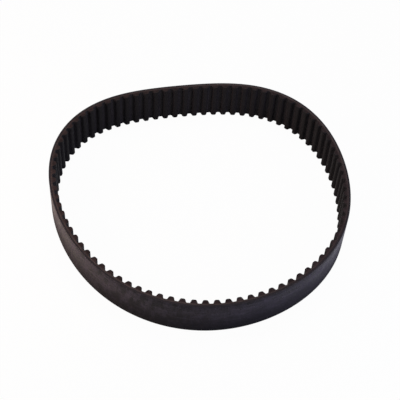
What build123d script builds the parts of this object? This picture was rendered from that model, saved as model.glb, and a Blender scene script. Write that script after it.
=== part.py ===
from build123d import *
import cmath
import os
from math import atan2, cos, pi, radians, sin, tan

# Endless timing belt of curvilinear 14 mm pitch, lying free and standing on one cut edge.
# +Z runs across the belt and the lower edge is at z = 0. The belt is built in its layers:
# rubber teeth in a woven nylon facing, wound glass cords on the pitch line, and the rubber back.

# ---- Driving dimensions (mm and degrees) ----

teeth = 85
pitch = 14.0  # from tooth to tooth, measured along the cords
belt_width = 55.0

tooth_height = 5.0  # from the land between two teeth to the crown
tooth_width = 9.4  # between the flanks where they would meet the land
crown_width = 5.5  # between the flanks where they would meet the crown
crown_radius = 2.4
root_easing = 0.9  # along the land and along the flank, where the tooth runs out

facing_thickness = 0.45
cord_diameter = 1.9
backing_thickness = 2.05  # rubber outside the cords

# The free loop isn't round. Its bend, tooth by tooth, is the mean bend plus four waves,
# each with its share of the mean and the direction in which it is strongest. The first tooth
# is the one at +X, where the belt heads for +Y.
oval_bend, oval_direction = 0.10, 4
triangle_bend, triangle_direction = 0.27, 44
square_bend, square_direction = 0.30, 62
pentagon_bend, pentagon_direction = 0.12, 65

# ---- Sizes that follow ----

mean_turn = 2 * pi / teeth
cord_radius = cord_diameter / 2
land_depth = cord_radius + facing_thickness  # from the pitch line to the land
crown_depth = land_depth + tooth_height
back_height = cord_radius + backing_thickness  # from the pitch line to the back

flank_turn = pi / 2 - atan2((tooth_width - crown_width) / 2, tooth_height)
corner_share = tan(flank_turn / 2)  # of a radius, that a rounded corner takes from its lines
crown_round = min(crown_radius, 0.45 * crown_width / corner_share)

core_width = tooth_width - 2 * facing_thickness * corner_share
core_crown_width = crown_width - 2 * facing_thickness * corner_share
core_crown_depth = crown_depth - facing_thickness
core_corner = (crown_round - facing_thickness) * (corner_share - tan(flank_turn / 4))

bend_waves = {
    2: (oval_bend, oval_direction),
    3: (triangle_bend, triangle_direction),
    4: (square_bend, square_direction),
    5: (pentagon_bend, pentagon_direction),
}
closing_rounds = 60


# ---- The pitch line: one arc per tooth, each tangent to the next ----


def turn_over(tooth, closing):
    """Angle that the belt turns through over one tooth's pitch."""
    angle = mean_turn * tooth
    bend = 1 + (closing * cmath.exp(-1j * angle)).real
    for corners, (share, direction) in bend_waves.items():
        bend += share * cos(corners * (angle - radians(direction)))
    return mean_turn * bend


def walk_round(closing):
    """Start, heading and turn of every tooth's arc, and the point where the last one ends."""
    point = 0j
    heading = pi / 2 - turn_over(0, closing) / 2
    arcs = []
    for tooth in range(teeth):
        turn = turn_over(tooth, closing)
        arcs.append((point, heading, turn))
        point += cmath.rect(pitch * sin(turn / 2) / (turn / 2), heading + turn / 2)
        heading += turn
    return arcs, point


# A wave of one swell round the loop is what shuts it: each round takes out the gap that is left.
closing = 0j
for _ in range(closing_rounds):
    arcs, gap = walk_round(closing)
    closing += 2 * gap / (pitch * teeth) / 1j


def beside(arc, part, outward):
    """Point at a part of an arc's length, 0 to 1, and so far outside the pitch line."""
    start, heading, turn = arc
    radius = pitch / turn
    centre = start + cmath.rect(radius, heading + pi / 2)
    point = centre + cmath.rect(radius + outward, heading + part * turn - pi / 2)
    return Vector(point.real, point.imag) - loop_middle


def belt_line(outward):
    """Closed line of tangent arcs, so far outside the pitch line."""
    for arc in arcs:
        ThreePointArc(*(beside(arc, part, outward) for part in (0, 0.5, 1)))


loop_middle = Vector(0, 0)
with BuildLine() as free_back:
    belt_line(back_height)
loop_middle = free_back.line.bounding_box().center()

# Each tooth is drawn on its own plane: x along the belt, y from the pitch line inwards.
tooth_planes = [
    Plane(
        beside(arc, 0.5, 0),
        x_dir=(cos(arc[1] + arc[2] / 2), sin(arc[1] + arc[2] / 2), 0),
        z_dir=(0, 0, 1),
    )
    for arc in arcs
]


# ---- Outlines that the layers share ----


def both_sides(left):
    """A tooth's corners from foot to foot, from those of its left half."""
    return left + [(-x, y) for x, y in reversed(left)]


core_corners = both_sides([
    (-core_width / 2, cord_radius),
    (
        -core_crown_width / 2 - core_corner * cos(flank_turn),
        core_crown_depth - core_corner * sin(flank_turn),
    ),
    (-core_crown_width / 2 + core_corner, core_crown_depth),
])

facing_corners = both_sides([
    (-tooth_width / 2 - root_easing, land_depth),
    (
        -tooth_width / 2 + root_easing * cos(flank_turn),
        land_depth + root_easing * sin(flank_turn),
    ),
    (-crown_width / 2, crown_depth),
])


def round_belt(corners):
    """The same corners on every tooth round the belt."""
    return [[plane.from_local_coords(corner) for corner in corners] for plane in tooth_planes]


def feet_line():
    """Closed line along the inside of the cords, through the feet of all cores."""
    Polyline(*round_belt([core_corners[0], core_corners[-1]]), close=True)


def cores_line():
    """Closed line along the hidden side of the facing, over all cores."""
    Polyline(*round_belt(core_corners), close=True)


def teeth_line():
    """Closed line along the working side of the belt, with rounded crowns."""
    outlines = round_belt(facing_corners)
    for outline, following in zip(outlines, outlines[1:] + outlines[:1]):
        FilletPolyline(*outline, radius=[0, crown_round, crown_round, 0])
        Line(outline[-1], following[0])


# ---- Rubber back ----

with BuildPart() as backing:
    with BuildSketch():
        with BuildLine():
            belt_line(back_height)
        make_face()
        with BuildLine():
            belt_line(cord_radius)
        make_face(mode=Mode.SUBTRACT)
    extrude(amount=belt_width)

# ---- Glass cords: the ply of S and Z twisted cords, wound side by side over the whole width ----

with BuildPart() as tension_cords:
    with BuildSketch():
        with BuildLine():
            belt_line(cord_radius)
        make_face()
        with BuildLine():
            feet_line()
        make_face(mode=Mode.SUBTRACT)
    extrude(amount=belt_width)

# ---- Rubber cores of the teeth, one solid each ----

with BuildPart() as tooth_cores:
    with BuildSketch(*tooth_planes):
        with BuildLine():
            Polyline(*core_corners, close=True)
        make_face()
    extrude(amount=belt_width)

# ---- Woven facing: one sleeve over all teeth and lands ----

with BuildPart() as tooth_facing:
    with BuildSketch():
        with BuildLine():
            cores_line()
        make_face()
        with BuildLine():
            teeth_line()
        make_face(mode=Mode.SUBTRACT)
    extrude(amount=belt_width)

# ---- Export ----

backing.part.label = "backing"
tension_cords.part.label = "tension_cords"
tooth_cores.part.label = "tooth_cores"
tooth_facing.part.label = "tooth_facing"

os.makedirs("parts", exist_ok=True)
export_step(backing.part, "parts/backing.step")
export_step(tension_cords.part, "parts/tension_cords.step")
export_step(tooth_cores.part, "parts/tooth_cores.step")
export_step(tooth_facing.part, "parts/tooth_facing.step")
print("pitch length", pitch * teeth, "gap left", abs(gap))
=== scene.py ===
# %% [markdown]
# # A timing belt, dressed around its CAD frame
#
# A timing belt is one moulded loop of four layers: a rubber back, glass cords on the pitch line, rubber
# teeth, and a woven nylon facing over the teeth. The CAD model has each layer as a plain solid. This
# notebook models the layers again, with the form and finish of the real ones, in the same place.
# Everything is in metres, in the frame of the CAD model.

import bpy
import cmath
import numpy as np
from math import atan2, cos, degrees, hypot, pi, radians, sin, tan
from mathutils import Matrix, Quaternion, Vector


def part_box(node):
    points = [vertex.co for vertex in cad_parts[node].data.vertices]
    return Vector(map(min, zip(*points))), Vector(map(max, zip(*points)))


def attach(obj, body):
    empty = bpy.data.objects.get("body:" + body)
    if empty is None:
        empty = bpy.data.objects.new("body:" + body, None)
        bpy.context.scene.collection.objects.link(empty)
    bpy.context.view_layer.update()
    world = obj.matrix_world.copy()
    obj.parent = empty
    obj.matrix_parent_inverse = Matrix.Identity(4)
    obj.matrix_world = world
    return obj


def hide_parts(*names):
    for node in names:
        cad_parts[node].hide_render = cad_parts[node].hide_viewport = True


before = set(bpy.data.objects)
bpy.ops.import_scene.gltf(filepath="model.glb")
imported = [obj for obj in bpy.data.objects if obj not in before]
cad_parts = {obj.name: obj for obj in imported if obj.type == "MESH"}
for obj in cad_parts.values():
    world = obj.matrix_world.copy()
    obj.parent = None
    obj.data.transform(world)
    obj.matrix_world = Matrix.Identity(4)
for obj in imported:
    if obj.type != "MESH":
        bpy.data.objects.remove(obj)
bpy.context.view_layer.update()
belt_low, belt_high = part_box("backing")
belt_width = belt_high.z - belt_low.z

# %% [markdown]
# ## The line that the belt follows
#
# A belt is made to a pitch, the distance from tooth to tooth along its cords. One that lies free keeps
# some of the bends it had in its packing, so its loop isn't a circle. A straight belt could be bent by
# a Curve modifier, but that would also squeeze and stretch the teeth. Here each tooth's pitch is one
# arc, tangent to the next. Its bend is the mean bend plus four gentle waves round the loop.

# %% One arc per tooth
teeth = 85
pitch = 0.014
mean_turn = 2 * pi / teeth

# Swells round the loop: their strength as a share of the mean bend, and their direction in degrees
bend_waves = {2: (0.10, 4), 3: (0.27, 44), 4: (0.30, 62), 5: (0.12, 65)}


def turn_over(tooth, closing):
    """Angle that the belt turns through over one tooth's pitch."""
    angle = mean_turn * tooth
    bend = 1 + (closing * cmath.exp(-1j * angle)).real
    for swells, (share, direction) in bend_waves.items():
        bend += share * cos(swells * (angle - radians(direction)))
    return mean_turn * bend


def walk_round(closing):
    """Start, heading and turn of every tooth's arc, and the point where the last one ends."""
    point, heading, arcs = 0j, pi / 2 - turn_over(0, closing) / 2, []
    for tooth in range(teeth):
        turn = turn_over(tooth, closing)
        arcs.append((point, heading, turn))
        point += cmath.rect(pitch * sin(turn / 2) / (turn / 2), heading + turn / 2)
        heading += turn
    return arcs, point


arcs, gap = walk_round(0j)
print("belt length", teeth * pitch, "gap before closing", abs(gap))

# %% [markdown]
# Those waves alone leave the two ends apart. A fifth wave, with one swell round the loop, brings them
# together and hardly changes the form. Its strength could be solved for, but trying is simpler: each
# round measures the gap and turns it into a better strength.

# %% Close the loop
closing_rounds = 60
closing = 0j
for _ in range(closing_rounds):
    arcs, gap = walk_round(closing)
    closing += 2 * gap / (pitch * teeth) / 1j

arc_start, arc_heading, arc_turn = (np.array(column) for column in zip(*arcs))
arc_radius = pitch / arc_turn
arc_centre = arc_start + arc_radius * 1j * np.exp(1j * arc_heading)
print("gap", abs(gap), "tightest bend", arc_radius.min(), "widest", arc_radius.max())

# %% [markdown]
# ## Section of the belt
#
# The layers lie on top of each other, and their thicknesses are given once. Every depth is counted from
# the pitch line, the middle of the cords, towards the teeth. A tooth has straight flanks between a
# rounded root and a rounded crown. Where a flank folds up, a rounding starts some way before the
# corner: `corner_share` is that way as a share of its radius.

# %% Thicknesses and tooth form
backing_thickness = 0.00205
cord_diameter = 0.0019
facing_thickness = 0.00045
tooth_height = 0.0050
tooth_width = 0.0094
crown_width = 0.0055
root_radius = 0.0013

cord_radius = cord_diameter / 2
land_depth = cord_radius + facing_thickness
back_height = cord_radius + backing_thickness
flank_turn = pi / 2 - atan2((tooth_width - crown_width) / 2, tooth_height)
corner_share = tan(flank_turn / 2)
print("total thickness", land_depth + tooth_height + back_height)
print("flanks fold up by", degrees(flank_turn), "degrees")

# %% [markdown]
# ## From a straight strip to the loop
#
# A belt is easiest to model lying straight: x runs along it, y from the pitch line towards the teeth,
# and z across its width. The finished strip is then laid round the loop. Most points follow the arcs.
# A tooth is stiff and keeps its form, so all points of one tooth move as one block.

# %% Places on the loop
samples_per_tooth = 40


def on_arcs(x, y):
    """Places on the loop, as complex numbers, of flat points that follow the arcs."""
    count = np.floor(x / pitch)
    tooth = count.astype(int) % teeth
    angle = arc_heading[tooth] + (x / pitch - count) * arc_turn[tooth]
    return arc_centre[tooth] - 1j * (arc_radius[tooth] - y) * np.exp(1j * angle)


def on_teeth(x, y):
    """The same for points that stay rigid with the tooth they are on."""
    tooth = np.floor(x / pitch).astype(int) % teeth
    from_middle = x % pitch - pitch / 2
    along = np.exp(1j * (arc_heading[tooth] + arc_turn[tooth] / 2))
    return on_arcs((tooth + 0.5) * pitch, 0 * y) + along * (from_middle + 1j * y)


back_line = on_arcs(np.linspace(0, teeth * pitch, samples_per_tooth * teeth), -back_height)
loop_middle = complex(
    (back_line.real.min() + back_line.real.max()) / 2,
    (back_line.imag.min() + back_line.imag.max()) / 2,
)
print("loop", np.ptp(back_line.real), "by", np.ptp(back_line.imag))

# %% [markdown]
# ## The toothed facing
#
# On the real belt a woven nylon sleeve lies over the mould, and the rubber presses it into the grooves.
# Its outline could be drawn as a curve and extruded. Here one pitch is a flat sheet that is folded up
# instead, because the same steps, with other sizes, then give the rubber under the cloth.
#
# Operators act on all that is selected. So each helper clears the selection first, and then picks faces
# or edges by their place, as one would with the mouse.

# %% Select by place
near = 0.00002


def alone(piece):
    """Makes one object the only selected and active one."""
    bpy.ops.object.select_all(action="DESELECT")
    piece.select_set(True)
    bpy.context.view_layer.objects.active = piece


def edit(piece):
    """Opens a piece in edit mode with nothing selected."""
    alone(piece)
    bpy.ops.object.mode_set(mode="EDIT")
    bpy.ops.mesh.select_all(action="DESELECT")


def pick(piece, kind, test):
    """Selects the faces or edges whose middle passes the test."""
    bpy.ops.mesh.select_all(action="DESELECT")
    bpy.ops.mesh.select_mode(type=kind)
    bpy.ops.object.mode_set(mode="OBJECT")
    mesh = piece.data
    parts = mesh.polygons if kind == "FACE" else mesh.edges
    for part in parts:
        corners = [mesh.vertices[index].co for index in part.vertices]
        part.select = bool(test(sum(corners, Vector()) / len(corners), part))
    bpy.ops.object.mode_set(mode="EDIT")


bpy.ops.object.select_all(action="DESELECT")
print("objects left selected", len(bpy.context.selected_objects))

# %% [markdown]
# A primitive plane starts the sheet. Its scale and turn are applied at once, so that the object stays
# at the origin and its place is in its mesh, as with the CAD parts.

# %% A flat sheet of one pitch
def sized(name, size):
    """Names the new primitive, gives it its size and puts its place into its mesh."""
    piece = bpy.context.object
    piece.name = piece.data.name = name
    piece.scale = size
    bpy.ops.object.transform_apply(location=True, rotation=True, scale=True)
    return piece


def flat_sheet(name, depth):
    """A sheet one pitch long that lies at one depth from the pitch line."""
    bpy.ops.object.select_all(action="DESELECT")
    bpy.ops.mesh.primitive_plane_add(
        size=1, location=(pitch / 2, depth, belt_width / 2), rotation=(-pi / 2, 0, 0)
    )
    return sized(name, (pitch, belt_width, 1))


facing = flat_sheet("facing_weave", land_depth)
print(facing.name, "starts with", len(facing.data.vertices), "corners")

# %% [markdown]
# Two cuts part the sheet in three. The middle is extruded up and narrowed to the crown, which leans
# both flanks. The extrusion also closes the tooth at the belt's edges, where the real cloth is open, so
# those two faces go.

# %% Raise the tooth
tooth_middle = pitch / 2

# A face looks one way where its normal is mostly along it
mostly = 0.5


def cut_across(normal, places):
    """Cuts the piece that is being edited by planes across one axis."""
    for place in places:
        bpy.ops.mesh.select_all(action="SELECT")
        bpy.ops.mesh.bisect(plane_co=place, plane_no=normal)


def raise_tooth(sheet, depth, width, crown):
    """Cuts a sheet in three and raises its middle to a narrower crown."""
    edit(sheet)
    cut_across((1, 0, 0), [(tooth_middle + side * width / 2, 0, 0) for side in (-1, 1)])
    pick(sheet, "FACE", lambda at, part: abs(at.x - tooth_middle) < near)
    bpy.ops.mesh.extrude_region_move(TRANSFORM_OT_translate={"value": (0, tooth_height, 0)})
    bpy.ops.transform.resize(
        value=(crown / width, 1, 1),
        center_override=(tooth_middle, depth + tooth_height, belt_width / 2),
    )
    pick(sheet, "FACE", lambda at, part: abs(part.normal.z) > mostly)
    bpy.ops.mesh.delete(type="FACE")
    bpy.ops.object.mode_set(mode="OBJECT")


raise_tooth(facing, land_depth, tooth_width, crown_width)
print(facing.name, "has", len(facing.data.polygons), "faces: two lands, two flanks and a crown")

# %% [markdown]
# Sharp folds would cut the cloth, so roots and crowns are round. A bevel on the two folds of a level
# makes each rounding. Then rows are cut across the width, so that the faces don't get long and thin.

# %% Round the folds
crown_radius = 0.0024
root_steps = 5
crown_steps = 7
row_count = 6


def round_folds(sheet, level, reach, radius, steps):
    """Bevels the two folds of a sheet at one level, each at one reach from the tooth's middle."""
    edit(sheet)
    pick(
        sheet, "EDGE",
        lambda at, part: abs(at.y - level) < near and abs(abs(at.x - tooth_middle) - reach) < near,
    )
    bpy.ops.mesh.bevel(offset=radius * corner_share, segments=steps, affect="EDGES")
    bpy.ops.object.mode_set(mode="OBJECT")


def cut_rows(piece):
    """Cuts a piece into rows across the belt's width."""
    edit(piece)
    cut_across((0, 0, 1), [(0, 0, belt_width * row / row_count) for row in range(1, row_count)])
    bpy.ops.object.mode_set(mode="OBJECT")


round_folds(facing, land_depth, tooth_width / 2, root_radius, root_steps)
round_folds(facing, land_depth + tooth_height, crown_width / 2, crown_radius, crown_steps)
cut_rows(facing)
print(facing.name, "has", len(facing.data.polygons), "faces in one pitch")

# %% [markdown]
# The weave has to run up and over the teeth without stretching. So the distance along the cloth is
# measured now, over the lower edge of this one pitch, and used below for the map of the whole facing.

# %% Distance along the cloth
def profile_distance(sheet):
    """Distance along the surface for each place x of one pitch, as two sorted lists."""
    lower = [vertex.co for vertex in sheet.data.vertices if vertex.co.z < near]
    profile = sorted({(round(at.x, 7), round(at.y, 7)) for at in lower})
    places, reached = [profile[0][0]], [0.0]
    for (x0, y0), (x1, y1) in zip(profile, profile[1:]):
        places.append(x1)
        reached.append(reached[-1] + hypot(x1 - x0, y1 - y0))
    return places, reached


places, reached = profile_distance(facing)
print("cloth over one pitch", reached[-1])

# %% [markdown]
# A second, smaller sheet could be the inside of the cloth. Solidify does the same in one step and keeps
# the thickness even round the folds. It goes towards the cords, whichever way the sheet happens to face.

# %% Thickness of the cloth
def apply_all(piece):
    """Applies every modifier of a piece, in order."""
    alone(piece)
    for modifier in list(piece.modifiers):
        bpy.ops.object.modifier_apply(modifier=modifier.name)


land = min(facing.data.polygons, key=lambda face: face.center.y)
cloth = facing.modifiers.new("cloth", "SOLIDIFY")
cloth.thickness = facing_thickness
cloth.offset = -1 if land.normal.y > 0 else 1
cloth.use_even_offset = True
apply_all(facing)
print(facing.name, "lies", min(vertex.co.y for vertex in facing.data.vertices), "from the pitch line")

# %% [markdown]
# All teeth come from one mould, so one pitch is modelled and an Array modifier copies it. The two end
# faces of the pitch are deleted first, because its neighbours join on there.

# %% Repeat the pitch
weld_distance = 0.00001


def open_ends(piece):
    """Deletes the faces at both ends of one pitch, where its neighbours join on."""
    edit(piece)
    pick(piece, "FACE", lambda at, part: abs(abs(at.x - pitch / 2) - pitch / 2) < near)
    bpy.ops.mesh.delete(type="FACE")
    bpy.ops.object.mode_set(mode="OBJECT")


def repeat_pitch(piece, count=teeth, rise=0.0):
    """Copies one pitch of a strip along the belt, each copy joined to the last."""
    array = piece.modifiers.new("pitches", "ARRAY")
    array.count = count
    array.use_relative_offset = False
    array.use_constant_offset = True
    array.constant_offset_displace = (pitch, 0, rise)
    array.use_merge_vertices = True
    array.merge_threshold = weld_distance
    apply_all(piece)


open_ends(facing)
repeat_pitch(facing)
print(facing.name, "has", len(facing.data.polygons), "faces in", teeth, "teeth")

# %% [markdown]
# Patterns such as a weave follow the belt, not the room. So each strip gets a UV map while it is still
# straight, in metres: u along its surface and v across the belt. The facing also remembers how far up
# its tooth each point lies, because its grooves are painted lighter against their shade and its crowns
# wear.

# %% Map the cloth
def map_strip(piece, along, across=lambda at: at.z):
    """Writes a UV map from two distances, along and across, that are read off the flat strip."""
    mesh = piece.data
    layer = mesh.uv_layers.new(name="surface")
    spots = [(along(vertex.co), across(vertex.co)) for vertex in mesh.vertices]
    for loop in mesh.loops:
        layer.data[loop.index].uv = spots[loop.vertex_index]


def distance_on_cloth(at):
    """Distance along the cloth: all whole pitches before this place, and the way up or down here."""
    return (at.x // pitch) * reached[-1] + np.interp(at.x % pitch, places, reached)


map_strip(facing, distance_on_cloth)
height_on_tooth = facing.data.attributes.new("crown", "FLOAT", "POINT")
for vertex in facing.data.vertices:
    height_on_tooth.data[vertex.index].value = (vertex.co.y - land_depth) / tooth_height
print("cloth round the whole loop", teeth * reached[-1])

# %% [markdown]
# Now the strip is laid round the loop. A point belongs to a tooth when it lies within the reach of its
# foot. The first and last points of the strip meet and are merged, and then all faces are turned
# outwards, which needs a closed shell.

# %% Lay the facing round the loop
foot_reach = tooth_width / 2 + root_radius * corner_share
reach_slack = 1.001


def round_loop(piece, rigid_teeth=False):
    """Lays a flat strip round the loop and joins its ends."""
    mesh = piece.data
    flat = np.empty(len(mesh.vertices) * 3)
    mesh.vertices.foreach_get("co", flat)
    x, y, z = flat.reshape(-1, 3).T
    place = on_arcs(x, y)
    if rigid_teeth:
        from_middle = np.abs((x / pitch) % 1 - 0.5) * pitch
        place = np.where(from_middle <= foot_reach * reach_slack, on_teeth(x, y), place)
    place = place - loop_middle
    mesh.vertices.foreach_set("co", np.column_stack((place.real, place.imag, z)).ravel())
    mesh.update()
    edit(piece)
    bpy.ops.mesh.select_all(action="SELECT")
    bpy.ops.mesh.remove_doubles(threshold=weld_distance)
    bpy.ops.mesh.delete_loose()
    bpy.ops.mesh.select_all(action="SELECT")
    bpy.ops.mesh.normals_make_consistent(inside=False)
    bpy.ops.object.mode_set(mode="OBJECT")


round_loop(facing, rigid_teeth=True)
print(facing.name, "loop closed with", len(facing.data.vertices), "points")

# %% [markdown]
# ## The finish of the nylon
#
# All layers are nearly black, but no two look alike. The facing is a nylon twill: each weft yarn passes
# over two warp yarns, one step on from row to row, and the eye sees slanted ribs. A tiled image could
# show them, but it would blur from near. Nodes give the pattern at any distance.
#
# Each material starts the same way, with its shader and with the places on the belt's own map.

# %% Start the nylon
def start_material(name):
    """A new node material, its node tree and its Principled shader."""
    material = bpy.data.materials.new(name)
    material.use_nodes = True
    return material, material.node_tree, material.node_tree.nodes["Principled BSDF"]


def strip_places(tree):
    """Places on the surface map of the piece, in metres along and across."""
    surface = tree.nodes.new("ShaderNodeUVMap")
    surface.uv_map = "surface"
    return surface.outputs["UV"]


nylon, nylon_tree, nylon_shader = start_material("nylon_facing")
cloth_places = strip_places(nylon_tree)
print(nylon.name, "starts with", len(nylon_tree.nodes), "nodes")

# %% [markdown]
# One wave texture makes the slanted ribs of the twill and a second one its finer yarns. A wave texture
# at scale one repeats 20 times in 2 pi metres, and from that the spacing of ribs and yarns is printed.

# %% Weave the twill
wave_repeat = 2 * pi / 20
rib_scale = (350, 350, 1)
yarn_scale = (700, 700, 1)
twill_turn = radians(52)


def stretched(tree, source, scale, turn=0.0):
    """Places from a source, scaled and turned by a Mapping node."""
    mapping = tree.nodes.new("ShaderNodeMapping")
    mapping.inputs["Scale"].default_value = scale
    mapping.inputs["Rotation"].default_value = (0, 0, turn)
    tree.links.new(source, mapping.inputs["Vector"])
    return mapping.outputs["Vector"]


def waves(tree, vector, direction, distortion):
    """Parallel ribs on the given places."""
    texture = tree.nodes.new("ShaderNodeTexWave")
    texture.bands_direction = direction
    texture.inputs["Scale"].default_value = 1.0
    texture.inputs["Distortion"].default_value = distortion
    texture.inputs["Detail"].default_value = 1.0
    tree.links.new(vector, texture.inputs["Vector"])
    return texture.outputs["Fac"]


ribs = waves(nylon_tree, stretched(nylon_tree, cloth_places, rib_scale, twill_turn), "X", 0.5)
yarns = waves(nylon_tree, stretched(nylon_tree, cloth_places, yarn_scale), "Y", 0.3)
print("a rib every", wave_repeat / rib_scale[0], "and a yarn every", wave_repeat / yarn_scale[1])

# %% [markdown]
# The ribs are what the eye sees first, and the yarns only break them up. So the two are multiplied at
# half strength: where both are high the cloth stands out, and where one is low it lies deeper.

# %% Break up the ribs
yarn_share = 0.5


def mixed(tree, factor, first, second, how="MIX"):
    """Mixes two colours by a factor that is a socket or a number."""
    mix = tree.nodes.new("ShaderNodeMix")
    mix.data_type = "RGBA"
    mix.blend_type = how
    if isinstance(factor, (int, float)):
        mix.inputs["Factor"].default_value = factor
    else:
        tree.links.new(factor, mix.inputs["Factor"])
    for value, socket in ((first, mix.inputs["A"]), (second, mix.inputs["B"])):
        if isinstance(value, tuple):
            socket.default_value = (*value, 1)
        else:
            tree.links.new(value, socket)
    return mix.outputs["Result"]


weave = mixed(nylon_tree, yarn_share, ribs, yarns, "MULTIPLY")
print("nylon nodes so far", len(nylon_tree.nodes))

# %% [markdown]
# Most looks below come from one idea: a pattern decides where one colour lies over another. `ramp`
# turns the pattern into colour over a span of its values. `where_high` and `where_low` make a share of
# it, for a layer that shows only where the pattern is strong or weak.

# %% Colours by pattern
def grey(value):
    """A grey, which also serves as a plain share."""
    return (value, value, value)


def ramp(tree, factor, low, high, span):
    """Blends two colours while a factor goes from the start to the end of a span."""
    blend = tree.nodes.new("ShaderNodeValToRGB")
    for element, place, colour in zip(blend.color_ramp.elements, span, (low, high)):
        element.position = place
        element.color = (*colour, 1)
    tree.links.new(factor, blend.inputs["Fac"])
    return blend.outputs["Color"]


def where_high(tree, pattern, span, most=1.0):
    """A share that grows from nothing to its most over a span of the pattern."""
    return ramp(tree, pattern, grey(0), grey(most), span)


def where_low(tree, pattern, span, most=1.0):
    """A share that falls from its most to nothing over a span of the pattern."""
    return ramp(tree, pattern, grey(most), grey(0), span)


yarn_gaps = where_low(nylon_tree, weave, span=(0.1, 0.6), most=0.85)
print("nylon nodes so far", len(nylon_tree.nodes))

# %% [markdown]
# The grooves are painted lighter than the crowns: painted light that lifts the shade between the teeth.
# The crowns are rubbed dark where they meet the pulley. The height on the tooth, written on the mesh
# above, tells one from the other. A noise adds darker rubbed spots, and the gaps between the yarns are
# almost black.

# %% Grooves painted lighter, and rubbed crowns
groove_cloth_painted_light = (0.0320, 0.0284, 0.0340)
crown_cloth = (0.0100, 0.0086, 0.0106)
rubbed_cloth = (0.0086, 0.0074, 0.0088)
gap_cloth = (0.0015, 0.0012, 0.0015)
rub_scale = (120, 40, 1)


def noise(tree, vector, scale=1.0, detail=4.0, roughness=0.6):
    """Noise value on the given places, with about one blotch per unit at scale one."""
    texture = tree.nodes.new("ShaderNodeTexNoise")
    texture.inputs["Scale"].default_value = scale
    texture.inputs["Detail"].default_value = detail
    texture.inputs["Roughness"].default_value = roughness
    tree.links.new(vector, texture.inputs["Vector"])
    return texture.outputs["Fac"]


crown_node = nylon_tree.nodes.new("ShaderNodeAttribute")
crown_node.attribute_name = "crown"
tooth_level = crown_node.outputs["Fac"]
on_crown = where_high(nylon_tree, tooth_level, span=(0.3, 1.0))
rubbing = noise(nylon_tree, stretched(nylon_tree, cloth_places, rub_scale), detail=5)
rubbed = where_high(nylon_tree, rubbing, span=(0.45, 0.75), most=0.5)
# Painted light: the grooves get a lighter colour than the crowns, to lift the shade between the teeth.
cloth_colour = mixed(nylon_tree, on_crown, groove_cloth_painted_light, crown_cloth)
cloth_colour = mixed(nylon_tree, rubbed, cloth_colour, rubbed_cloth)
cloth_colour = mixed(nylon_tree, yarn_gaps, cloth_colour, gap_cloth)
print("a rubbed spot is about", 1 / rub_scale[0], "by", 1 / rub_scale[1])

# %% [markdown]
# At both edges of the belt the knife has cut the cloth, and the ends of its threads show. No separate
# face is needed for them: the only parts of the belt that look up or down are its cut edges, so the
# direction of the surface picks them out. On the lands the cut cloth is paler, smeared with adhesive.

# %% Cut ends of the threads
thread_scale = (2600, 1, 1)
thread_dark = (0.0018, 0.0014, 0.0017)
thread_light = (0.0085, 0.0060, 0.0063)
smeared_land = (0.0560, 0.0410, 0.0390)


def axis_of(tree, vector, axis):
    """One of the three numbers of a vector."""
    split = tree.nodes.new("ShaderNodeSeparateXYZ")
    tree.links.new(vector, split.inputs["Vector"])
    return split.outputs[axis]


def facing_up(tree, span=(0.4, 0.8)):
    """One on surfaces that look up or down, such as a cut edge, and zero on upright ones."""
    outwards = tree.nodes.new("ShaderNodeTexCoord").outputs["Normal"]
    size = tree.nodes.new("ShaderNodeMath")
    size.operation = "ABSOLUTE"
    tree.links.new(axis_of(tree, outwards, "Z"), size.inputs[0])
    return where_high(tree, size.outputs["Value"], span)


threads = noise(nylon_tree, stretched(nylon_tree, cloth_places, thread_scale), detail=2)
thread_ends = ramp(nylon_tree, threads, thread_dark, thread_light, span=(0.45, 0.65))
on_land = where_low(nylon_tree, tooth_level, span=(0.0, 0.2), most=0.45)
thread_ends = mixed(nylon_tree, on_land, thread_ends, smeared_land)
nylon_colour = mixed(nylon_tree, facing_up(nylon_tree), cloth_colour, thread_ends)
nylon_tree.links.new(nylon_colour, nylon_shader.inputs["Base Color"])
print("nylon nodes so far", len(nylon_tree.nodes))

# %% [markdown]
# Nylon on a used belt is dull. Its yarns stand out by about a tenth of a millimetre, which is too fine
# to model on 85 teeth, so a bump gives it. Then the facing is dressed: it gets its shading, the body
# that it rides on and its material, and the CAD part that it stands for is hidden.

# %% Dress the facing
weave_relief = 0.00012


def bump(tree, height, distance, strength, below=None):
    """A bump from a height, over another bump if one is given."""
    node = tree.nodes.new("ShaderNodeBump")
    node.inputs["Strength"].default_value = strength
    node.inputs["Distance"].default_value = distance
    tree.links.new(height, node.inputs["Height"])
    if below is not None:
        tree.links.new(below, node.inputs["Normal"])
    return node.outputs["Normal"]


def dress(piece, node, material, smooth_angle=35):
    """Gives a finished piece its shading, its body and its material, and hides the CAD node that it
    stands for.
    """
    alone(piece)
    bpy.ops.object.shade_smooth_by_angle(angle=radians(smooth_angle))
    piece.data.materials.clear()
    piece.data.materials.append(material)
    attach(piece, "root")
    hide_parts(node)
    print(piece.name, len(piece.data.polygons), "faces,", material.name)


nylon_shader.inputs["Roughness"].default_value = 0.6
nylon_shader.inputs["Specular IOR Level"].default_value = 0.12
raised_yarns = bump(nylon_tree, weave, weave_relief, strength=0.7)
nylon_tree.links.new(raised_yarns, nylon_shader.inputs["Normal"])
dress(facing, "tooth_facing", nylon)

# %% [markdown]
# ## The rubber of the teeth
#
# Under the cloth the rubber fills each tooth. The tooth could be cut out of the facing, but folding a
# second sheet is cleaner. It is smaller by the cloth all round, so its roots are rounder and its crown
# is sharper by the cloth's thickness.

# %% Fold the rubber sheet
cloth_corner = facing_thickness * corner_share
rubber_width = tooth_width - 2 * cloth_corner
rubber_crown = crown_width - 2 * cloth_corner
rubber_top = cord_radius + tooth_height

rubber = flat_sheet("tooth_rubber", cord_radius)
raise_tooth(rubber, cord_radius, rubber_width, rubber_crown)
round_folds(rubber, cord_radius, rubber_width / 2, root_radius + facing_thickness, root_steps)
round_folds(rubber, rubber_top, rubber_crown / 2, crown_radius - facing_thickness, crown_steps)
cut_rows(rubber)
print(rubber.name, "is", rubber_width, "wide at its foot")

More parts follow.
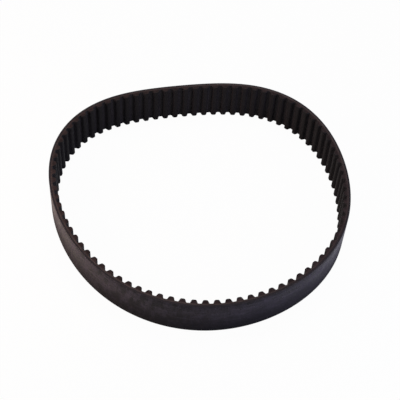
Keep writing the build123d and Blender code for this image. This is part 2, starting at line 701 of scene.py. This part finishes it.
# %% [markdown]
# The sheet becomes solid rubber when its copy is pressed flat on the cords, which closes the space
# between them. Between the teeth only a thin film of rubber is left there, as on the real belt.

# %% Fill the teeth
film = 0.00004

edit(rubber)
bpy.ops.mesh.select_all(action="SELECT")
bpy.ops.mesh.extrude_region_move(TRANSFORM_OT_translate={"value": (0, -tooth_height, 0)})
bpy.ops.transform.resize(value=(1, 0, 1), center_override=(0, cord_radius - film, 0))
bpy.ops.object.mode_set(mode="OBJECT")
open_ends(rubber)
repeat_pitch(rubber)
map_strip(rubber, lambda at: at.x, lambda at: at.y)
round_loop(rubber, rigid_teeth=True)
print(rubber.name, len(rubber.data.polygons), "faces")

# %% [markdown]
# ## The finish of cut rubber
#
# Only the cut edges of this rubber can be seen. The knife drags through it and leaves a rough, brownish
# face with torn grains. Modelled grains would take millions of faces, so a fine noise gives both their
# colour and their bump. The back and the bed of the cords are cut in the same stroke and share these
# nodes. They read Object coordinates, because the knife doesn't follow the belt's map.

# %% Torn grains
cut_dark = (0.0086, 0.0052, 0.0058)
cut_light = (0.0280, 0.0186, 0.0193)
cut_grain = (0.0640, 0.0460, 0.0450)
grains_per_metre = 2200
patches_per_metre = 130


def cut_rubber(tree):
    """Colour of a knife-cut rubber face, and the height of its torn grain."""
    place = tree.nodes.new("ShaderNodeTexCoord").outputs["Object"]
    torn = noise(tree, place, grains_per_metre, detail=3, roughness=0.7)
    patches = noise(tree, place, patches_per_metre, detail=4)
    colour = ramp(tree, patches, cut_dark, cut_light, span=(0.35, 0.70))
    pits = where_low(tree, torn, span=(0.36, 0.52), most=0.75)
    tips = where_high(tree, torn, span=(0.60, 0.70), most=0.8)
    colour = mixed(tree, pits, colour, cut_dark)
    colour = mixed(tree, tips, colour, cut_grain)
    return colour, torn


print("a torn grain is about", 1 / grains_per_metre, "wide")

# %% [markdown]
# The knife also smears. Near the cords it spreads their pale dip into the rubber, and outside them the
# face keeps more of the black of the uncut rubber. Both bands follow the depth from the pitch line,
# which is the second number of these pieces' maps. A colour ramp can't start below zero, so a Map Range
# node turns the depth into a share.

# %% Bands on the cut edge
bare_rubber = (0.0042, 0.0038, 0.0070)
dip_pale = (0.0840, 0.0625, 0.0585)
dip_share = 0.14
black_share = 0.6
torn_relief = 0.00010

# Depths between which the dip and the black come in
dip_depths = (0.0024, 0.0012)
black_depths = (0.0002, -0.0005)


def depth_band(tree, depths):
    """A share that grows from nothing to one between two depths from the pitch line."""
    band_node = tree.nodes.new("ShaderNodeMapRange")
    band_node.inputs["From Min"].default_value = depths[0]
    band_node.inputs["From Max"].default_value = depths[1]
    tree.links.new(axis_of(tree, strip_places(tree), "Y"), band_node.inputs["Value"])
    return band_node.outputs["Result"]


def cut_material(name):
    """Cut rubber, pale with dip near the cords and dark outside them."""
    material, tree, shader = start_material(name)
    colour, torn = cut_rubber(tree)
    dipped = mixed(tree, dip_share, colour, dip_pale)
    colour = mixed(tree, depth_band(tree, dip_depths), colour, dipped)
    blackened = mixed(tree, black_share, colour, bare_rubber)
    colour = mixed(tree, depth_band(tree, black_depths), colour, blackened)
    tree.links.new(colour, shader.inputs["Base Color"])
    shader.inputs["Roughness"].default_value = 0.75
    shader.inputs["Specular IOR Level"].default_value = 0.06
    tree.links.new(bump(tree, torn, torn_relief, strength=0.5), shader.inputs["Normal"])
    return material


dress(rubber, "tooth_cores", cut_material("cut_tooth_rubber"))

# %% [markdown]
# ## The back
#
# The back is a plain band of rubber, and so is the bed that holds the cords. A cube is stretched to one
# pitch of a band, its two end faces are deleted, and cuts along it let it bend smoothly.

# %% Plain bands
steps_per_pitch = 4


def band(name, inner, outer):
    """A flat band of one pitch between two depths, open at its ends."""
    bpy.ops.object.select_all(action="DESELECT")
    bpy.ops.mesh.primitive_cube_add(size=1, location=(pitch / 2, (inner + outer) / 2, belt_width / 2))
    piece = sized(name, (pitch, inner - outer, belt_width))
    edit(piece)
    pick(piece, "FACE", lambda at, part: abs(part.normal.x) > mostly)
    bpy.ops.mesh.delete(type="ONLY_FACE")
    steps = range(1, steps_per_pitch)
    cut_across((1, 0, 0), [(pitch * step / steps_per_pitch, 0, 0) for step in steps])
    bpy.ops.object.mode_set(mode="OBJECT")
    return piece


back = band("back_rubber", -cord_radius, -back_height)
print(back.name, "is", back_height - cord_radius, "thick")

# %% [markdown]
# The knife and the grinding wheel leave no sharp corner, so both outer edges are broken by a small
# bevel. It is real geometry, because it catches a thin line of light all round the belt.

# %% Break the outer edges
edge_break = 0.00035
edge_steps = 3

edit(back)
pick(
    back, "EDGE",
    lambda at, part: at.y < -back_height + near and min(at.z, belt_width - at.z) < near,
)
bpy.ops.mesh.bevel(offset=edge_break, segments=edge_steps, affect="EDGES")
bpy.ops.object.mode_set(mode="OBJECT")
cut_rows(back)
repeat_pitch(back)
map_strip(back, lambda at: at.x)
round_loop(back)
print(back.name, len(back.data.polygons), "faces")

# %% [markdown]
# ## The finish of the back
#
# The back is ground to thickness on a drum, so it has fine lines along the belt. Under them the wrap
# cloth of the mould has left a slanted hatching. Handling adds clouds of pale dust, long scuffs, and
# on one stretch a patchy wear. Each mark is a noise of its own, stretched along or across the belt.

# %% Marks on the back
grinding_scale = (50, 2400, 1)
hatching_scale = (1100, 220, 1)
hatching_turn = radians(28)
mottle_scale = (120, 55, 1)
dust_scale = (11, 42, 1)
scuff_scale = (16, 380, 1)
scuff_turn = radians(4)

ground, back_tree, back_shader = start_material("ground_back_rubber")
back_places = strip_places(back_tree)


def back_marks(scale, turn=0.0, detail=4, roughness=0.6):
    """Noise on the back, with so many marks per metre along and across the belt."""
    return noise(
        back_tree, stretched(back_tree, back_places, scale, turn), detail=detail, roughness=roughness
    )


grinding = back_marks(grinding_scale, roughness=0.7)
hatching = back_marks(hatching_scale, hatching_turn, detail=3)
mottle = back_marks(mottle_scale, detail=2, roughness=0.5)
dust = back_marks(dust_scale, detail=6, roughness=0.65)
scuffs = back_marks(scuff_scale, scuff_turn, detail=5)
print("grinding lines are about", 1 / grinding_scale[1], "apart")

# %% [markdown]
# The patchy wear is strong on the stretch that was handled most, and faint on the rest of the belt. The
# distance along the belt starts it and ends it softly. Where the wear is patchy, it bares the rubber in
# some spots and leaves dust in others.

# %% Patchy wear
worn_start = 0.62
worn_end = 0.87
worn_fade = 0.05
faint_wear = 0.4

along_belt = axis_of(back_tree, back_places, "X")
begun = (worn_start, worn_start + worn_fade)
ended = (worn_end, worn_end + worn_fade)
worn = ramp(back_tree, along_belt, grey(faint_wear), grey(1), begun)
worn = mixed(back_tree, where_high(back_tree, along_belt, ended), worn, grey(faint_wear))
bared = where_low(back_tree, mottle, span=(0.40, 0.52))
bared = mixed(back_tree, 1.0, worn, bared, "MULTIPLY")
dusted = where_high(back_tree, mottle, span=(0.50, 0.64), most=0.9)
dusted = mixed(back_tree, 1.0, worn, dusted, "MULTIPLY")
print("worn stretch", worn_end - worn_start, "of", teeth * pitch)

# %% [markdown]
# The colours are laid over each other from the rubber up: clouds of dust, the patchy wear, the scuffs,
# and at last the grinding lines and the hatching, which cut through all of it.

# %% Colours of the back
dust_thin = (0.0086, 0.0075, 0.0130)
dust_thick = (0.0502, 0.0434, 0.0612)
back_dusty = (0.0745, 0.0652, 0.0912)

scuffed = where_high(back_tree, scuffs, span=(0.54, 0.66), most=0.8)
between_lines = where_low(back_tree, grinding, span=(0.42, 0.54), most=0.7)
hatched = where_high(back_tree, hatching, span=(0.50, 0.62), most=0.6)
back_colour = ramp(back_tree, dust, dust_thin, dust_thick, span=(0.36, 0.66))
for shown, layer in (
    (bared, bare_rubber),
    (dusted, back_dusty),
    (scuffed, back_dusty),
    (between_lines, bare_rubber),
    (hatched, bare_rubber),
):
    back_colour = mixed(back_tree, shown, back_colour, layer)
print("back nodes so far", len(back_tree.nodes))

# %% [markdown]
# The lower edge of the back is painted darker: painted shade that stands in for the floor's shadow
# mirrored near its foot. It is also rougher and duller there. The broken edges are rubbed lighter, and
# the cut edges show the cut rubber. The direction of the surface tells these apart: a broken edge looks
# partly up or down, and a cut edge straight up or down.

# %% Painted shade at the lower edge, corners and cut edges
back_corner = (0.0240, 0.0180, 0.0185)
painted_back_shade = (0.0024, 0.0022, 0.0046)
uncut_share = 0.7
painted_shade_span = (0.0, 0.036)
corner_span = (0.12, 0.35)
cut_span = (0.88, 0.97)

# Painted shade: the back is darker towards its lower edge, for the floor's shadow mirrored there.
above_painted_shade = where_high(back_tree, axis_of(back_tree, back_places, "Y"), painted_shade_span)
back_colour = mixed(back_tree, above_painted_shade, painted_back_shade, back_colour)
back_colour = mixed(back_tree, facing_up(back_tree, corner_span), back_colour, back_corner)
cut_colour, torn = cut_rubber(back_tree)
cut_colour = mixed(back_tree, uncut_share, cut_colour, bare_rubber)
is_cut = facing_up(back_tree, cut_span)
back_colour = mixed(back_tree, is_cut, back_colour, cut_colour)
back_tree.links.new(back_colour, back_shader.inputs["Base Color"])
print("the back gets lighter over", painted_shade_span[1], "of", belt_width)

# %% [markdown]
# Where the rubber is bare the grinding has left it smoother than where it is dusty, so the same mottle
# drives the roughness. Three fine bumps lie over each other: grinding, hatching and torn grains.

# %% Dress the back
back_relief = 0.00006
bare_roughness = 0.26
dusty_roughness = 0.46
shade_roughness = 0.6
cut_roughness = 0.7

rough = ramp(back_tree, mottle, grey(bare_roughness), grey(dusty_roughness), span=(0.40, 0.62))
rough = mixed(back_tree, above_painted_shade, grey(shade_roughness), rough)
rough = mixed(back_tree, is_cut, rough, grey(cut_roughness))
back_tree.links.new(rough, back_shader.inputs["Roughness"])
back_shader.inputs["Specular IOR Level"].default_value = 0.13
relief = bump(back_tree, grinding, back_relief, strength=0.6)
relief = bump(back_tree, hatching, back_relief, strength=0.6, below=relief)
relief = bump(back_tree, torn, back_relief, strength=0.25, below=relief)
back_tree.links.new(relief, back_shader.inputs["Normal"])
dress(back, "backing", ground)

# %% [markdown]
# ## The cord bed
#
# The cords lie in a bed of rubber between the back and the teeth, which shows beside them in the cut
# edges. A bed with a channel for each cord would hide all of its channels, so it is one more band, from
# the back to the film under the teeth, and the cords run inside it.

# %% Build the cord bed
bed = band("cord_bed", cord_radius - film, -cord_radius)
repeat_pitch(bed)
map_strip(bed, lambda at: at.x, lambda at: at.y)
round_loop(bed)
dress(bed, "tension_cords", cut_material("cut_bed_rubber"))

# %% [markdown]
# ## The cords
#
# Two glass cords, one twisted to the left and one to the right, are wound side by side as a double
# helix, so that their twists cancel. They could be curves with a bevel, but the knife has to cut them.
# So a circle is extruded into one pitch of cord that climbs a little, and copied for twelve turns.

# %% One pitch of cord
cord_spacing = 0.0023
cord_sides = 10
cord_rise = 2 * cord_spacing / teeth


def cord_pitch(name, start):
    """One pitch of a climbing cord, from its place along the belt at the lower edge."""
    bpy.ops.object.select_all(action="DESELECT")
    bpy.ops.mesh.primitive_circle_add(
        vertices=cord_sides, radius=cord_radius, location=(start, 0, -cord_radius),
        rotation=(0, pi / 2, 0),
    )
    cord = sized(name, (1, 1, 1))
    edit(cord)
    bpy.ops.mesh.select_mode(type="EDGE")
    bpy.ops.mesh.select_all(action="SELECT")
    for _ in range(2):
        bpy.ops.mesh.extrude_region_move(
            TRANSFORM_OT_translate={"value": (pitch / 2, 0, cord_rise / 2)}
        )
    bpy.ops.object.mode_set(mode="OBJECT")
    return cord


start_s = 0.0
start_z = teeth * pitch / 2
cord_s = cord_pitch("cord_s_twist", start_s)
cord_z = cord_pitch("cord_z_twist", start_z)
print("each cord climbs", cord_rise * teeth, "in one turn")

# %% [markdown]
# The belt is cut from its sleeve square to its axis. So the knife meets each cord at a very small angle
# and opens it as a long thin sliver. A Boolean with such a shallow cut is fragile. Here all that lies
# past the knife is pressed onto its plane, and narrowed to the width that the plane has in the cord.
# The slivers stand proud of the rubber by a hair, as cut glass does.

# %% Wind the cords and cut them off
proud = 0.00005


def cut_off(cord, start):
    """Ends a straight, climbing cord at both cut edges of the belt."""
    mesh = cord.data
    flat = np.empty(len(mesh.vertices) * 3)
    mesh.vertices.foreach_get("co", flat)
    x, y, z = flat.reshape(-1, 3).T
    middle = -cord_radius + (x - start) / pitch * cord_rise
    past = np.abs(middle - np.clip(middle, 0, belt_width))
    half_width = np.sqrt(np.maximum(cord_radius**2 - past**2, 0))
    y = np.clip(y, -half_width, half_width)
    z = np.clip(z, -proud, belt_width + proud)
    mesh.vertices.foreach_set("co", np.column_stack((x, y, z)).ravel())
    mesh.update()


cord_pitches = int((belt_width + cord_diameter) / cord_rise) + 1
for cord, start in ((cord_s, start_s), (cord_z, start_z)):
    repeat_pitch(cord, cord_pitches, cord_rise)
    cut_off(cord, start)
    map_strip(cord, lambda at: at.x, lambda at: at.y)
    round_loop(cord)
print("turns of each cord", cord_pitches / teeth, "length", cord_pitches * pitch)

# %% [markdown]
# ## The finish of the cords
#
# A cord is hundreds of glass filaments, dipped in a brown adhesive. Where the knife has opened it they
# show as pale streaks, slanted one way in an S cord and the other way in a Z cord. A noise stretched
# along the cord gives the streaks, and a coarser one gives the dark gaps between its yarns. Both read
# the map of the cord, so the streaks follow it round every bend.

# %% Dress the cords
filament_scale = (110, 5200, 1)
gap_scale = (60, 900, 1)
dip_dark = (0.013, 0.0085, 0.0085)
glass_light = (0.072, 0.054, 0.052)
gap_dark = (0.016, 0.010, 0.010)
filament_relief = 0.00010
cord_twist = radians(1.5)
cord_smooth_angle = 60


def cord_material(name, twist):
    """Treated glass cord. Its yarns lie at the twist angle, one way for S and the other for Z."""
    material, tree, shader = start_material(name)
    cord_places = strip_places(tree)
    filaments = noise(tree, stretched(tree, cord_places, filament_scale, twist), detail=3)
    gaps = noise(tree, stretched(tree, cord_places, gap_scale), detail=3)
    colour = ramp(tree, filaments, dip_dark, glass_light, span=(0.38, 0.66))
    colour = mixed(tree, where_low(tree, gaps, span=(0.40, 0.54), most=0.9), colour, gap_dark)
    tree.links.new(colour, shader.inputs["Base Color"])
    shader.inputs["Roughness"].default_value = 0.6
    shader.inputs["Specular IOR Level"].default_value = 0.08
    tree.links.new(bump(tree, filaments, filament_relief, strength=0.6), shader.inputs["Normal"])
    return material


glass_s = cord_material("glass_cord_s", cord_twist)
glass_z = cord_material("glass_cord_z", -cord_twist)
dress(cord_s, "tension_cords", glass_s, cord_smooth_angle)
dress(cord_z, "tension_cords", glass_z, cord_smooth_angle)

# %% [markdown]
# ## Camera
#
# A long lens looks down on the belt from the front, rolled by a few degrees, as a camera held by hand
# is. The camera is placed by the point that it looks at, its height angle and its distance, because
# those three can be changed one at a time.

# %% Camera
camera_elevation = radians(51.98)
camera_distance = 1.4017
camera_target = Vector((0.00283, 0.01718, 0))
camera_roll = radians(4.16)
camera_lens = 93.95
sensor_width = 36

looking = Vector((0, cos(camera_elevation), -sin(camera_elevation)))
camera_data = bpy.data.cameras.new("camera")
camera_data.lens = camera_lens
camera_data.sensor_width = sensor_width
camera = bpy.data.objects.new("camera", camera_data)
bpy.context.scene.collection.objects.link(camera)
camera.location = camera_target - looking * camera_distance
camera.rotation_mode = "QUATERNION"
camera.rotation_quaternion = looking.to_track_quat("-Z", "Y") @ Quaternion((0, 0, 1), camera_roll)
bpy.context.scene.camera = camera
print("camera at", tuple(camera.location))

# %% [markdown]
# ## Floor and room
#
# The belt stands on a plain pale floor. It lies a hair below the belt, so that the lower cut edge and
# the floor don't share a plane.

# %% Floor
floor_size = 8
floor_gap = 0.0001
floor_grey = (0.5, 0.5, 0.5, 1)

bpy.ops.object.select_all(action="DESELECT")
bpy.ops.mesh.primitive_plane_add(size=floor_size, location=(0, 0, -floor_gap))
floor = bpy.context.object
floor.name = "floor"

floor_material, floor_tree, floor_shader = start_material("pale_floor")
floor_shader.inputs["Base Color"].default_value = floor_grey
floor_shader.inputs["Roughness"].default_value = 0.9
floor.data.materials.append(floor_material)
print("floor", floor_size, "across,", floor_gap, "under the belt")

# %% [markdown]
# A floor that its lamps turn white would need far more light than the belt can take. So plain white is
# mixed in by Light Path, only for what the camera and the reflections see, and the floor keeps a trace
# of its shading and of the belt's shadow. The dull back mirrors the floor only faintly, so the share
# of white in reflections is small there. A strength of 1 is white.

# %% White for the camera alone
def seen_share(tree, camera_share, glossy_share):
    """How much plain white is mixed in: one share for the camera, one for reflections."""
    path = tree.nodes.new("ShaderNodeLightPath")
    total = None
    for name, share in (
        ("Is Camera Ray", camera_share),
        ("Is Glossy Ray", glossy_share),
        ("Is Transmission Ray", camera_share),
    ):
        part = tree.nodes.new("ShaderNodeMath")
        part.operation = "MULTIPLY"
        part.inputs[1].default_value = share
        tree.links.new(path.outputs[name], part.inputs[0])
        if total is None:
            total = part.outputs["Value"]
            continue
        larger = tree.nodes.new("ShaderNodeMath")
        larger.operation = "MAXIMUM"
        tree.links.new(total, larger.inputs[0])
        tree.links.new(part.outputs["Value"], larger.inputs[1])
        total = larger.outputs["Value"]
    return total


def plain_white(tree, lit, white_type, output_socket, camera_share, glossy_share):
    """Mixes plain white into what the camera and reflections see of a lit surface."""
    white = tree.nodes.new(white_type)
    white.inputs["Color"].default_value = (1, 1, 1, 1)
    white.inputs["Strength"].default_value = 1
    mix = tree.nodes.new("ShaderNodeMixShader")
    tree.links.new(seen_share(tree, camera_share, glossy_share), mix.inputs["Fac"])
    tree.links.new(lit, mix.inputs[1])
    tree.links.new(white.outputs[0], mix.inputs[2])
    tree.links.new(mix.outputs["Shader"], output_socket)


plain_white(
    floor_tree, floor_shader.outputs["BSDF"], "ShaderNodeEmission",
    floor_tree.nodes["Material Output"].inputs["Surface"], camera_share=0.97, glossy_share=0.05,
)
print("floor material has", len(floor_tree.nodes), "nodes")

# %% [markdown]
# The world is the room. Its own light is weak and fills the shadows. The camera and reflections see it
# as plain white, so that the floor has no horizon.

# %% Room
room_colour = (0.96, 0.98, 1.0, 1)
room_strength = 0.25

world = bpy.data.worlds.new("soft_room")
bpy.context.scene.world = world
world.use_nodes = True
room_tree = world.node_tree
room = room_tree.nodes["Background"]
room.inputs["Color"].default_value = room_colour
room.inputs["Strength"].default_value = room_strength
plain_white(
    room_tree, room.outputs["Background"], "ShaderNodeBackground",
    room_tree.nodes["World Output"].inputs["Surface"], camera_share=1.0, glossy_share=1.0,
)
print("room light", room_strength)

# %% [markdown]
# ## Lamps
#
# Black rubber shows its form by its sheen, so the lamps are soft areas and not points. The key lamp
# hangs high behind the belt and lights the cut edges. Low down, a warm lamp at the left and a cool one
# at the right graze the back and set its two ends apart.

# %% Lamps
def soft_lamp(name, place, size, power, colour):
    """A square area lamp that looks at the middle of the belt."""
    lamp_data = bpy.data.lights.new(name, "AREA")
    lamp_data.size = size
    lamp_data.energy = power
    lamp_data.color = colour
    lamp = bpy.data.objects.new(name, lamp_data)
    bpy.context.scene.collection.objects.link(lamp)
    lamp.location = place
    lamp.rotation_mode = "QUATERNION"
    lamp.rotation_quaternion = (-Vector(place)).to_track_quat("-Z", "Y")
    print(name, power, "watts")


soft_lamp("key_above", (0.0, 0.5, 1.65), 0.7, 15, (1.0, 1.0, 1.0))
soft_lamp("warm_left", (-0.62, -0.06, 0.32), 0.3, 4.2, (1.0, 0.68, 0.53))
soft_lamp("cool_right", (0.62, -0.24, 0.32), 0.3, 2.5, (0.76, 0.74, 1.0))

# %% [markdown]
# ## Finish
#
# The Standard view shows colours as they are written.

# %% Finish
bpy.context.scene.view_settings.view_transform = "Standard"
print("view transform", bpy.context.scene.view_settings.view_transform)
